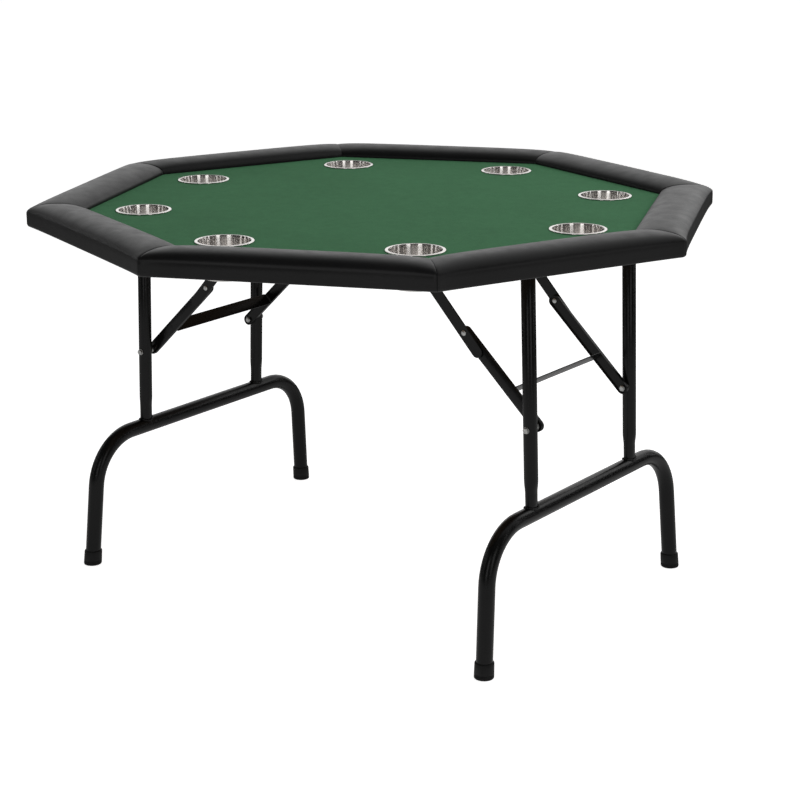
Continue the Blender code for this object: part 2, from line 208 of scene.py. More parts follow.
def make_felt():
    """Short-pile green felt with a slightly mottled nap and a few pale fibres."""
    s = Shader("green_felt_nap")
    s.set(Roughness=1.0, Sheen_Weight=0.05, Sheen_Roughness=0.6, Specular_IOR_Level=0.12)
    s.bsdf.inputs["Sheen Tint"].default_value = (0.55, 0.8, 0.62, 1.0)
    greens = [(0.25, (0.077, 0.247, 0.113)), (0.75, (0.086, 0.279, 0.128))]
    base = s.ramp(s.noise(5.0, 3.0), greens)
    speckle = s.ramp(s.noise(950.0, 3.0, 0.7), [(0.30, grey(0.80)), (0.70, grey(1.18))])
    cloud = s.ramp(s.noise(60.0, 4.0, 0.6), [(0.3, grey(0.94)), (0.7, grey(1.06))])
    colour = s.mix(1.0, s.mix(1.0, base, speckle, "MULTIPLY"), cloud, "MULTIPLY")
    lint = s.ramp(s.cells(210.0, "F1"), [(0.045, grey(1.0)), (0.075, grey(0.0))])
    sparse = s.ramp(s.noise(34.0, 1.0), [(0.66, grey(0.0)), (0.72, grey(0.5))])
    colour = s.mix(s.mix(1.0, lint, sparse, "MULTIPLY"), colour, (0.20, 0.33, 0.24))
    s.into("Base Color", colour)
    s.bump(s.noise(1500.0, 4.0, 0.7), 0.55, 0.0005)
    s.bump(s.noise(240.0, 3.0, 0.6, distortion=1.5), 0.25, 0.0006)
    return s.mat


def make_steel():
    """Turned and brushed stainless steel: fine rings round each cup."""
    s = Shader("brushed_cup_steel_turned")
    s.set(Metallic=1.0, Anisotropic=1.0, Anisotropic_Rotation=0.25)
    rings = s.noise(1.0, 4.0, 0.7, s.stretched((18.0, 18.0, 2600.0)))
    smear = [(0.3, grey(0.73, (1.0, 0.955, 0.915))), (0.7, grey(0.79, (1.0, 0.97, 0.94)))]
    s.into("Base Color", s.ramp(s.noise(9.0, 3.0), smear))
    s.into("Roughness", s.span(rings, 0.19, 0.21))
    around = s.nodes.new("ShaderNodeTangent")
    around.direction_type = "RADIAL"
    around.axis = "Z"
    s.into("Tangent", around.outputs["Tangent"])
    return s.mat


def make_paint():
    """Glossy black powder coat: fine orange peel, a trace of rubbed brightness."""
    s = Shader("black_leg_powder_coat").set(Specular_IOR_Level=0.19)
    rub = [(0.35, grey(0.0030)), (0.70, grey(0.0042)), (0.82, grey(0.0075))]
    s.into("Base Color", s.ramp(s.noise(30.0, 5.0, 0.65), rub))
    s.into("Roughness", s.span(s.noise(90.0, 3.0), 0.22, 0.29))
    s.bump(s.noise(700.0, 2.0), 0.06, 0.00006)
    return s.mat


def make_rubber():
    s = Shader("black_cap_rubber_moulded").set(Specular_IOR_Level=0.18)
    s.into("Base Color", s.ramp(s.noise(45.0, 4.0), [(0.3, grey(0.006)), (0.7, grey(0.010))]))
    s.into("Roughness", s.span(s.noise(120.0, 3.0), 0.55, 0.72))
    s.bump(s.noise(1400.0, 3.0), 0.25, 0.0002)
    return s.mat


def make_zinc():
    """Zinc plate with a cloudy passivated film."""
    s = Shader("zinc_bolt_plate").set(Metallic=1.0)
    cloud = [(0.3, grey(0.34, (0.97, 0.99, 1.0))), (0.7, grey(0.50, (1.0, 0.99, 0.95)))]
    s.into("Base Color", s.ramp(s.noise(240.0, 4.0, 0.6), cloud))
    s.into("Roughness", s.span(s.noise(400.0, 3.0), 0.26, 0.42))
    s.bump(s.noise(1800.0, 2.0), 0.15, 0.0001)
    return s.mat


def make_board():
    """Pale fibre board, seen from below and inside the rail."""
    s = Shader("board_wood_fibre")
    grain = s.noise(1.0, 5.0, 0.65, s.stretched((6.0, 110.0, 110.0)), 0.6)
    fleck = s.noise(700.0, 3.0, 0.7)
    base = s.ramp(grain, [(0.25, (0.235, 0.148, 0.082)), (0.5, (0.315, 0.208, 0.120)),
                          (0.8, (0.375, 0.258, 0.158))])
    flecks = s.ramp(fleck, [(0.3, grey(0.88)), (0.7, grey(1.08))])
    s.into("Base Color", s.mix(1.0, base, flecks, "MULTIPLY"))
    s.into("Roughness", s.span(grain, 0.62, 0.8))
    s.bump(grain, 0.2, 0.0004)
    s.bump(fleck, 0.2, 0.0002)
    return s.mat


def make_thread():
    s = Shader("black_sewing_thread").set(Sheen_Weight=0.3)
    twist = s.cells(2400.0)
    s.into("Base Color", s.ramp(twist, [(0.1, grey(0.012)), (0.5, grey(0.035))]))
    s.into("Roughness", s.span(twist, 0.5, 0.7, 0.0, 0.6))
    s.bump(twist, 0.4, 0.0002)
    return s.mat


def make_floor():
    """A pale floor: nearly white to look at, and a weaker, graded glow to all other rays."""
    s = Shader("pale_floor").set(Specular_IOR_Level=0.2)
    s.into("Base Color", s.ramp(s.noise(1.4, 2.0), [(0.3, grey(0.86)), (0.7, grey(0.90))]))
    s.into("Roughness", s.span(s.noise(3.0, 2.0), 0.75, 0.9))
    lit = s.nodes.new("ShaderNodeEmission")
    lit.inputs["Strength"].default_value = FLOOR_SEEN
    add = s.nodes.new("ShaderNodeAddShader")
    s.links.new(s.bsdf.outputs["BSDF"], add.inputs[0])
    s.links.new(lit.outputs["Emission"], add.inputs[1])
    glow = s.nodes.new("ShaderNodeEmission")
    graded = s.span(dot_with(s.tree, s.coords, TO_CAMERA), *FLOOR_GLOW, *FLOOR_RUN)
    s.links.new(graded, glow.inputs["Strength"])
    split_for_camera(s.tree, add.outputs["Shader"], glow.outputs["Emission"], "Material Output")
    return s.mat


VINYL = make_vinyl()
FELT = make_felt()
STEEL = make_steel()
PAINT = make_paint()
RUBBER = make_rubber()
ZINC = make_zinc()
BOARD = make_board()
THREAD = make_thread()


# -------- mesh tools

def add_object(name, data):
    obj = bpy.data.objects.new(name, data)
    bpy.context.scene.collection.objects.link(obj)
    return obj


def add_mesh(name, verts, faces, material, body=TOP, sharp=None):
    """A smooth-shaded piece on a body. Edges sharper than sharp, in degrees, stay crisp."""
    bm = bmesh.new()
    made = [bm.verts.new(v) for v in verts]
    for face in faces:
        bm.faces.new([made[i] for i in face])
    bmesh.ops.recalc_face_normals(bm, faces=bm.faces[:])
    for face in bm.faces:
        face.smooth = True
    if sharp is not None:
        limit = math.radians(sharp)
        for edge in bm.edges:
            if len(edge.link_faces) == 2 and edge.calc_face_angle(0.0) > limit:
                edge.smooth = False
    mesh = bpy.data.meshes.new(name)
    bm.to_mesh(mesh)
    bm.free()
    mesh.materials.append(material)
    obj = add_object(name, mesh)
    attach(obj, body)
    return obj


def stand_for(node):
    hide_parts(node)


def loft(rings, closed=False):
    """A skin through rings of points, capped at both ends or closed on itself."""
    count = len(rings[0])
    verts = [p for ring in rings for p in ring]
    faces = []
    for k in range(len(rings) if closed else len(rings) - 1):
        near = k * count
        far = ((k + 1) % len(rings)) * count
        for i in range(count):
            j = (i + 1) % count
            faces.append((near + i, near + j, far + j, far + i))
    if not closed:
        faces.append(tuple(reversed(range(count))))
        faces.append(tuple(range(len(verts) - count, len(verts))))
    return verts, faces


def merge(parts):
    verts = []
    faces = []
    for part_verts, part_faces in parts:
        faces += [tuple(i + len(verts) for i in face) for face in part_faces]
        verts += part_verts
    return verts, faces


def ring_points(count, hexagonal=False):
    points = []
    for i in range(count):
        a = 2.0 * math.pi * i / count
        reach = 1.0
        if hexagonal:
            reach = 1.0 / math.cos((a % (math.pi / 3.0)) - math.pi / 6.0)
        points.append((reach * math.cos(a), reach * math.sin(a)))
    return points


def arc(x, y, radius, first, turn, steps):
    """Points on an arc, with its angles in degrees."""
    angles = [math.radians(first + turn * i / steps) for i in range(steps + 1)]
    return [(x + radius * math.cos(a), y + radius * math.sin(a)) for a in angles]


def turned(origin, axis, profile, count=32):
    """A solid of revolution from (distance along axis, radius) pairs.

    An entry with a third value is a hexagon there.
    """
    axis = Vector(axis).normalized()
    helper = Vector((0.0, 0.0, 1.0)) if abs(axis.z) < 0.9 else Vector((1.0, 0.0, 0.0))
    side = axis.cross(helper).normalized()
    up = axis.cross(side)
    rings = []
    for along, reach, *hexagonal in profile:
        base = Vector(origin) + axis * along
        shape = ring_points(count, bool(hexagonal))
        rings.append([base + side * u * reach + up * v * reach for u, v in shape])
    return loft(rings)


def mm(profile):
    """A profile given in millimetres, for turned()."""
    return [(along * MM, reach * MM, *rest) for along, reach, *rest in profile]


def sweep(path, normal, sections, count=40):
    """A skin along a flat path. sections hold half widths: (along normal, in the plane)."""
    normal = Vector(normal).normalized()
    rings = []
    for k, point in enumerate(path):
        tangent = (path[min(k + 1, len(path) - 1)] - path[max(k - 1, 0)]).normalized()
        cross = tangent.cross(normal)
        a, b = sections[k]
        rings.append([point + normal * u * a + cross * v * b for u, v in ring_points(count)])
    return loft(rings)


def centre(node):
    low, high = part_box(node)
    return (Vector(low) + Vector(high)) / 2.0


def joint_point(name):
    joint = next(j for j in frame["joints"] if j["name"] == name)
    return Vector(joint["pos_m"])


# -------- padded rail

RAIL_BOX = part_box("rail_pad_1")
FLATS = cad_box[1][0] * math.cos(HALF_TURN)
RAIL_BOTTOM = RAIL_BOX[0][2]
CREST = RAIL_BOX[1][2]
FELT_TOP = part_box("playing_felt")[1][2]
FELT_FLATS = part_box("playing_felt")[1][0] * math.cos(HALF_TURN)
BASE_LOW, BASE_HIGH = (corner[2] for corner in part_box("rail_base"))
BASE_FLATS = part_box("rail_base")[1][0] * math.cos(HALF_TURN)
CREASE = BASE_HIGH + 3.5 * MM
CREST_FLATS = FLATS - 40.0 * MM
FLAP_FLATS = FLATS - 36.0 * MM      # the hem's edge, under the ring
DROP_FLATS = FLATS - 58.9 * MM      # where the pad steps down from the board to the ring
STUFFED_CORNER = 5.0 * MM           # how far the outside swells at a corner
SEAM_PINCH = 4.5 * MM               # how far the crest sinks at a seam
SEAM_RUN = 30.0 * MM                # the way from a seam to where the foam stands full
GROOVE_RUN = 1.6 * MM
WRINKLE_RUN = 22.0 * MM
ROLL_POWER, SLOPE_POWER = 0.92, 0.94    # outside and inside of the crest; 1 is an ellipse
CORNER_R = 14.0 * MM
CREST_CORNER_R = 70.0 * MM
CREASE_DEPTHS = [depth * MM for depth in (0.8, 1.0, 0.9, 1.1, 0.9, 0.25, 2.5, 0.7)]
HIDDEN_POINTS = 9                   # the last points of the section, which never wrinkle
WRINKLES = (0.42, 0.20, 0.05)       # millimetres: beside a seam, slow and fine
EDGE_STEPS = (0.35, 1.2, 3.0, 5.0, 7.5, 11.0, 16.0, 22.0, 29.0)    # rings beside a seam, in mm
SIDE_STEPS = 46


def rail_section(plump, groove, corner, round_crest, crease):
    """Closed section of one padded side: (apothem, height) from the hem under the base round.

    plump is 1 in the middle of a side and 0 at a seam; groove pulls the cover into the
    seam, corner and round_crest round the outside and the crest where two sides meet, and
    crease is how far the cover sinks above the wooden ring.
    """
    crest = CREST - SEAM_PINCH * (1.0 - plump) - 0.6 * MM * groove
    ridge = CREST_FLATS - round_crest
    stuffed = 1.0 - plump
    edge = FLATS - 0.2 * MM - corner - 0.2 * MM * groove + STUFFED_CORNER * stuffed
    low = RAIL_BOTTOM + 0.1 * MM
    bottom_r = (3.0 + 3.0 * stuffed) * MM
    start = low + bottom_r
    points = arc(edge - bottom_r, start, bottom_r, -90.0, 90.0, 4)
    # The band is pulled tight over the wooden ring; a soft crease parts it from the roll.
    sink = crease * (0.35 + 0.65 * plump)
    for i in range(1, 9):
        z = start + (CREASE - start) * i / 8.0
        points.append((edge - sink * math.exp(-(((CREASE - z) / (2.6 * MM)) ** 2)), z))
    width = edge - ridge
    for i in range(1, 19):
        a = math.radians(90.0 * i / 18.0)
        z = CREASE + (crest - CREASE) * math.sin(a)
        near = math.exp(-(((z - CREASE) / (2.2 * MM)) ** 2))
        points.append((ridge + width * max(0.0, math.cos(a)) ** ROLL_POWER - sink * near, z))
    # The inner slope ends against the felt, and the rest is hidden: board, ring and hem.
    inner = FELT_FLATS + 0.15 * MM
    foot = FELT_TOP + 1.5 * MM
    for i in range(1, 17):
        a = math.radians(90.0 * i / 16.0)
        reach = ridge - (ridge - inner) * math.sin(a) ** SLOPE_POWER
        points.append((reach, foot + (crest - foot) * max(0.0, math.cos(a)) ** SLOPE_POWER))
    deck = FELT_TOP - 1.2 * MM
    over, under = BASE_HIGH + 0.4 * MM, BASE_LOW - 0.15 * MM
    return points + [
        (inner, FELT_TOP + 0.6 * MM), (inner + 0.1 * MM, FELT_TOP - 0.5 * MM),
        (inner + 1.2 * MM, deck), (DROP_FLATS, deck), (DROP_FLATS, over),
        (BASE_FLATS + 0.3 * MM, over), (BASE_FLATS + 0.3 * MM, under),
        (FLAP_FLATS, under), (FLAP_FLATS, BASE_LOW - 0.75 * MM),
    ]


def corner_cut(radius, from_corner):
    """How far a rounded corner lies inside the sharp one."""
    return max(0.0, radius * math.tan(HALF_TURN) - from_corner) ** 2 / (2.0 * radius)


def seam_profile(t, half):
    """The cover at t from a side's middle: plump, groove, both roundings, way to the seam."""
    from_seam = max(0.0, half - abs(t))
    plump = 1.0 - math.exp(-from_seam / SEAM_RUN)
    plump *= 0.9 + 0.1 * math.cos(math.pi * t / half / 2.0)
    groove = math.exp(-((from_seam / GROOVE_RUN) ** 1.3))
    corner = corner_cut(CORNER_R, from_seam)
    round_crest = corner_cut(CREST_CORNER_R, from_seam)
    return plump, groove, corner, round_crest, from_seam


def rail_frame(index):
    normal = 2.0 * math.pi * (index + 0.5) / SIDES
    across = Vector((math.cos(normal), math.sin(normal), 0.0))
    along = Vector((-across.y, across.x, 0.0))
    return across, along


def pull_wrinkles(point, from_seam, t_sign, height_share):
    """Short soft creases that fan from a seam, and a slow unevenness along the foam."""
    fade = math.exp(-from_seam / WRINKLE_RUN) * (1.0 - math.exp(-from_seam / (3.0 * MM)))
    sample = Vector((point.x * 6.0, point.y * 6.0, point.z * 150.0 + t_sign * 7.0))
    near = noise.noise(sample) * WRINKLES[0] * MM * fade
    slow = noise.noise(point * 9.0 + Vector((3.1, 0.0, 0.0))) * WRINKLES[1] * MM
    fine = Vector((point.x * 34.0, point.y * 34.0, point.z * 60.0))
    ripple = noise.noise(fine) * WRINKLES[2] * MM
    return (near + slow + ripple) * height_share


def pad_shares(half):
    """Where a side's rings lie, from -1 to 1: closer towards its seams, and closest beside them."""
    close = [1.0 - e * MM / half for e in EDGE_STEPS]
    shares = {-1.0, 1.0, *close, *(-c for c in close)}
    for i in range(SIDE_STEPS + 1):
        u = -1.0 + 2.0 * i / SIDE_STEPS
        share = math.copysign(1.0 - (1.0 - abs(u)) ** 1.6, u)
        if abs(share) < close[-1] - 0.01:
            shares.add(round(share, 6))
    return sorted(shares)


def build_rail_pad(index):
    """One sewn side of the rail, mitred into its neighbours."""
    across, along = rail_frame(index)
    name = "rail_pad_%d" % (index + 1)
    half_mid = CREST_FLATS * math.tan(HALF_TURN)
    rings = []
    for share in pad_shares(half_mid):
        *shape, from_seam = seam_profile(share * half_mid, half_mid)
        ring = []
        section = rail_section(*shape, CREASE_DEPTHS[index])
        for k, (reach, z) in enumerate(section):
            half = reach * math.tan(HALF_TURN) - 0.04 * MM
            point = across * reach + along * (share * half)
            point.z = z
            ahead = section[(k + 1) % len(section)]
            behind = section[k - 1]
            slope = Vector((ahead[0] - behind[0], ahead[1] - behind[1]))
            if slope.length > 0.0 and k < len(section) - HIDDEN_POINTS:
                out = Vector((slope.y, -slope.x)).normalized()
                soft = 0.12 + 0.88 * min(1.0, max(0.0, (z - CREASE) / (6.0 * MM)))
                shift = pull_wrinkles(point, from_seam, math.copysign(1.0, share), soft)
                point += across * out.x * shift
                point.z = min(point.z + out.y * shift, CREST + 1.0 * MM)
            ring.append(point)
        rings.append(ring)
    pad = add_mesh(name + "_cover", *loft(rings), VINYL, sharp=75)
    smooth = pad.modifiers.new("smooth", "SUBSURF")
    smooth.levels = 1
    smooth.render_levels = 1
    stand_for(name)


def build_corner_stitches():
    """A row of stitches on each side of each corner seam, up the flat side band."""
    parts = []
    near = 3.4 * MM
    length = 3.0 * MM
    radii = [(0.0, 0.12), (0.15, 0.38), (0.5, 0.46), (0.85, 0.38), (1.0, 0.12)]
    profile = [(share * length, r * MM) for share, r in radii]
    reach = FLATS - 0.35 * MM - corner_cut(CORNER_R, near)
    half = FLATS * math.tan(HALF_TURN)
    for index in range(SIDES):
        across, along = rail_frame(index)
        for side in (-1.0, 1.0):
            base = across * reach + along * side * (half - near)
            for i in range(5):
                start = Vector((base.x, base.y, RAIL_BOTTOM + (4.0 + 4.4 * i) * MM))
                parts.append(turned(start, (0.0, 0.0, 1.0), profile, 8))
    stitches = add_mesh("corner_stitches", *merge(parts), THREAD)


def build_flap_staples():
    """Steel staples that hold the cover's hem to the wooden ring, underneath."""
    parts = []
    rng = random.Random(4)
    per_side = 9
    wide = 5.5 * MM
    end = (2 * wide - 0.4 * MM, 0.45 * MM)
    wire = [(0.0, 0.25 * MM), (0.4 * MM, 0.45 * MM), end, (2 * wide, 0.25 * MM)]
    for index in range(SIDES):
        across, along = rail_frame(index)
        for i in range(per_side):
            t = (i - (per_side - 1) / 2.0) * 46.0 * MM + rng.uniform(-4.0, 4.0) * MM
            base = across * (FLAP_FLATS + 9.0 * MM + rng.uniform(-1.5, 1.5) * MM) + along * t
            base.z = BASE_LOW - 0.85 * MM
            turn = rng.uniform(-0.25, 0.25)
            way = along * math.cos(turn) + across * math.sin(turn)
            parts.append(turned(base - way * wide, way, wire, 8))
    staples = add_mesh("hem_staples", *merge(parts), ZINC, sharp=40)


# -------- felt and cups

CUPS = ["cup_holder_%d" % (k + 1) for k in range(SIDES)]
CUP_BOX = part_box(CUPS[0])
FLANGE_R = (CUP_BOX[1][1] - CUP_BOX[0][1]) / 2.0
CUP_FLOOR = CUP_BOX[0][2]
HOLE_R = FLANGE_R - 2.4 * MM
FELT_THICK = 1.3 * MM


def build_felt():
    """The felt field: one cut sheet with a round hole for each cup."""
    bm = bmesh.new()
    corner = FELT_FLATS / math.cos(HALF_TURN)
    turns = [2 * HALF_TURN * k for k in range(SIDES)]
    corners = [Vector((math.cos(a), math.sin(a), 0.0)) * corner for a in turns]
    loops = [[corners[k].lerp(corners[(k + 1) % SIDES], i / 20.0)
              for k in range(SIDES) for i in range(20)]]
    for node in CUPS:
        mid = centre(node)
        loops.append([Vector((mid.x + HOLE_R * u, mid.y + HOLE_R * v, 0.0))
                      for u, v in ring_points(64)])
    edges = []
    for loop in loops:
        verts = [bm.verts.new((p.x, p.y, FELT_TOP)) for p in loop]
        edges += [bm.edges.new((v, verts[(i + 1) % len(verts)])) for i, v in enumerate(verts)]
    bmesh.ops.triangle_fill(bm, use_beauty=True, use_dissolve=False, edges=edges)
    bmesh.ops.recalc_face_normals(bm, faces=bm.faces[:])
    if bm.faces[0].normal.z < 0.0:
        bmesh.ops.reverse_faces(bm, faces=bm.faces[:])
    made = bmesh.ops.extrude_face_region(bm, geom=bm.faces[:])
    for item in made["geom"]:
        if isinstance(item, bmesh.types.BMVert):
            item.co.z -= FELT_THICK
    bmesh.ops.recalc_face_normals(bm, faces=bm.faces[:])
    area = sum(f.calc_area() for f in bm.faces if f.normal.z > 0.9)
    mesh = bpy.data.meshes.new("felt_field")
    bm.to_mesh(mesh)
    bm.free()
    mesh.materials.append(FELT)
    felt = add_object("felt_field", mesh)
    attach(felt, TOP)
    stand_for("playing_felt")


def cup_profile():
    """Closed section of a cup, (radius, height): up the outside, over the lip, down inside."""
    lip_low = FELT_TOP + 0.3 * MM
    top = CUP_BOX[1][2]
    wall = 0.9 * MM
    rim = 0.9 * MM
    body = FLANGE_R - 5.5 * MM
    bend = 6.0 * MM
    bend_x, bend_z = FLANGE_R - 7.5 * MM - bend, CUP_FLOOR + bend
    inside = CUP_FLOOR + wall
    section = arc(bend_x, bend_z, bend, -90.0, 86.0, 5)
    section += [(body, lip_low - 2.0 * MM), (body + 0.5 * MM, lip_low)]
    section += arc(FLANGE_R - rim, lip_low + rim, rim, -90.0, 190.0, 8)
    section.append((body + 1.6 * MM, top - 0.05 * MM))
    for u, v in arc(0.0, 0.0, 1.0, 90.0, -90.0, 4):
        section.append((body + 0.7 * MM - 0.7 * MM * u, top - 0.8 * MM * (1.0 - v)))
    section.append((body - wall, lip_low - 3.0 * MM))
    section += arc(bend_x, bend_z, bend - wall, -4.0, -86.0, 5)
    for radius, rise in ((22.0, 0.0), (21.4, 0.35), (20.6, 0.35), (4.0, 0.5)):
        section.append((radius * MM, inside + rise * MM))
    return section


def build_cup(index):
    node = CUPS[index]
    mid = centre(node)
    base = (mid.x, mid.y, 0.0)
    profile = [(z, r) for r, z in cup_profile()]
    spun = turned(base, (0, 0, 1), profile, 112)
    cup = add_mesh("cup_%d_spun" % (index + 1), *spun, STEEL, sharp=50)
    stand_for(node)


# -------- leg frames

LEG_TOP = joint_point("leg_fold_right")
LOWER_PIVOT = joint_point("lower_link_turn_right")
UPPER_PIVOT = joint_point("upper_link_turn_right")
SPLAY_SLOPE = (LOWER_PIVOT.x - LEG_TOP.x) / (LEG_TOP.z - LOWER_PIVOT.z)
TUBE_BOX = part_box("foot_tube_right")
UPRIGHT_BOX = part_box("upright_right_rear")
CAP_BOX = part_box("foot_cap_right_rear")
UPRIGHT_Y = centre("upright_right_rear").y
UPRIGHT_R = 12.7 * MM
CRIMP = (9.6 * MM, 13.8 * MM)
FOOT_R = 15.0 * MM
BAR_Z = TUBE_BOX[1][2] - FOOT_R
FLARE = math.radians(5.2)
CAP_R = 17.75 * MM
FOOT_Y = CAP_BOX[1][1] - CAP_R
BEND_R = 100.0 * MM
LINK_R = 11.0 * MM
LINK_TAIL = 41.0 * MM      # the flat link's reach past the elbow
STRIP_AT = 77.0            # millimetres up the lower link to its cross strip
HOLLOW = 5.4               # millimetres from the channel's web to its drawn hollow
NUT_Y = 24.5 * MM          # from the upright's middle to the brace bolt's nut
PLATE = 1.8 * MM
PLATE_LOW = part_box("hinge_bracket_right_rear")[1][2] - PLATE
UPPER_Y = [corner[1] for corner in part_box("upper_link_right_rear")]
LOWER_Y = [corner[1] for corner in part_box("lower_link_right_rear")]


def leg_x(side, z):
    return side * (LEG_TOP.x + (LEG_TOP.z - z) * SPLAY_SLOPE)


def leg_normal(side):
    return Vector((side, 0.0, SPLAY_SLOPE)).normalized()


def on_side(point, side):
    return Vector((point.x * side, 0.0, point.z))


def elbow_point(side):
    low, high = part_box("elbow_rivet_right_front")
    return Vector((side * (low[0] + high[0]) / 2.0, 0.0, (low[2] + high[2]) / 2.0))


def build_foot_tube(label, side, body):
    """Bent inverted U, drawn as one smooth round tube."""
    slope = math.tan(FLARE)
    turn = math.pi / 2.0 - FLARE
    bend_y = FOOT_Y - BAR_Z * slope - BEND_R * math.tan(turn / 2.0)
    half = [(FOOT_Y - z * MM * slope, z * MM) for z in (6.2, 40.0, 75.0, 110.0, 138.0)]
    for i in range(15):
        a = turn * (1.0 - i / 14.0)
        half.append((bend_y + BEND_R * math.sin(a), BAR_Z - BEND_R * (1.0 - math.cos(a))))
    half += [(share * bend_y, BAR_Z) for share in (0.8, 0.5, 0.2)]
    outline = half + [(-y, z) for y, z in half[::-1]]
    path = [Vector((leg_x(side, z), y, z)) for y, z in outline]
    skin = sweep(path, leg_normal(side), [(FOOT_R, FOOT_R)] * len(path), 48)
    tube = add_mesh("foot_tube_%s_bent" % label, *skin, PAINT, body, sharp=50)
    stand_for("foot_tube_" + label)


def build_upright(label, place, side, side_y, body):
    """Round upright whose foot is pressed flat where it is welded to the bar."""
    y = side_y * UPRIGHT_Y
    low, high = (corner[2] for corner in UPRIGHT_BOX)
    full = (UPRIGHT_R, UPRIGHT_R)
    end_r = UPRIGHT_R - 1.2 * MM
    stations = [(low, CRIMP), (low + 12.0 * MM, CRIMP)]
    stations.append((low + 22.0 * MM, (CRIMP[0] + 0.4 * MM, CRIMP[1] - 0.3 * MM)))
    for i in range(1, 9):
        s = i / 8.0
        ease = s * s * (3.0 - 2.0 * s)
        widths = tuple(CRIMP[k] + (full[k] - CRIMP[k]) * ease for k in (0, 1))
        stations.append((low + (22.0 + 26.0 * s) * MM, widths))
    stations += [(LOWER_PIVOT.z, full), (high - 1.2 * MM, full), (high, (end_r, end_r))]
    path = [Vector((leg_x(side, z), y, z)) for z, _ in stations]
    name = "upright_%s_%s" % (label, place)
    skin = sweep(path, leg_normal(side), [s for _, s in stations], 48)
    upright = add_mesh(name + "_tube", *skin, PAINT, body, sharp=60)
    stand_for(name)
    build_weld(name + "_weld", side, y, body)


def build_weld(name, side, y, body):
    """A rippled weld bead round the pressed foot, following the round bar."""
    count = 60
    spine = []
    for i in range(count):
        a = 2.0 * math.pi * i / count
        off = (CRIMP[0] + 1.0 * MM) * math.cos(a)
        run = (CRIMP[1] + 1.2 * MM) * math.sin(a)
        rise = math.sqrt(max(FOOT_R ** 2 - off ** 2, 0.0))
        z = BAR_Z + rise + 0.5 * MM
        spine.append(Vector((leg_x(side, z) + side * off, y + run, z)))
    rings = []
    for i, point in enumerate(spine):
        tangent = (spine[(i + 1) % count] - spine[i - 1]).normalized()
        across = tangent.cross(Vector((0.0, 0.0, 1.0))).normalized()
        up = across.cross(tangent)
        ripple = 0.35 * math.sin(i * 2.0 * math.pi / 4.0)
        r = (2.1 + ripple + 0.3 * noise.noise(point * 300.0)) * MM
        rings.append([point + across * u * r + up * v * r for u, v in ring_points(12)])
    weld = add_mesh(name, *loft(rings, closed=True), PAINT, body)


def build_foot_cap(label, place, side, side_y, body):
    """Moulded cap: flat sole, rolled bottom edge, two fine grooves and a soft top lip."""
    top = CAP_BOX[1][2] / MM
    r = CAP_R / MM
    grip = FOOT_R / MM + 0.35
    profile = [(0.0, r - 2.2), (0.3, r - 1.2), (1.2, r - 0.3), (2.2, r)]
    for z in (6.0, 8.4):
        profile += [(z - 0.7, r), (z, r - 0.7), (z + 0.7, r)]
    profile += [(top - 2.4, r - 0.35), (top - 0.9, r - 0.7), (top - 0.1, r - 1.5)]
    profile += [(top, grip + 0.5), (top - 0.6, grip), (4.2, grip)]
    rings = []
    for z, radius in mm(profile):
        mid = Vector((leg_x(side, z), side_y * (FOOT_Y - z * math.tan(FLARE)), z))
        rings.append([mid + Vector((u * radius, v * radius, 0.0)) for u, v in ring_points(48)])
    name = "foot_cap_%s_%s" % (label, place)
    cap = add_mesh(name + "_moulded", *loft(rings), RUBBER, body, sharp=50)
    stand_for(name)


def slot_ring(start, end, radius, y, count=14):
    """A slot's outline at y: straight sides and two round ends."""
    heading = math.atan2(end.z - start.z, end.x - start.x)
    points = []
    for mid, first in ((end, -math.pi / 2.0), (start, math.pi / 2.0)):
        for i in range(count):
            a = heading + first + math.pi * i / (count - 1)
            points.append(Vector((mid.x + radius * math.cos(a), y, mid.z + radius * math.sin(a))))
    return points


def build_upper_link(label, place, side, side_y, body):
    """Flat bar with eased edges, and the elbow rivet's head outside it."""
    upper = on_side(UPPER_PIVOT, side)
    elbow = elbow_point(side)
    tail = elbow + (elbow - upper).normalized() * LINK_TAIL
    inner, outer = UPPER_Y[0] * side_y, UPPER_Y[1] * side_y
    ease = 0.5 * MM
    step = side_y * ease
    stations = ((ease, inner), (0.0, inner + step), (0.0, outer - step), (ease, outer))
    rings = [slot_ring(upper, tail, LINK_R - inset, y) for inset, y in stations]
    name = "upper_link_%s_%s" % (label, place)
    link = add_mesh(name + "_bar", *loft(rings), PAINT, body, sharp=35)
    stand_for(name)
    name = "elbow_rivet_%s_%s" % (label, place)
    head = [(-2.9, 3.5), (0.3, 3.5), (0.3, 4.7), (0.7, 5.0), (1.3, 4.5), (1.8, 3.4),
            (2.1, 1.8), (2.15, 0.5)]
    rivet = turned(Vector((elbow.x, outer, elbow.z)), (0, side_y, 0), mm(head))
    rivet = add_mesh(name + "_head", *rivet, ZINC, body, sharp=50)
    stand_for(name)


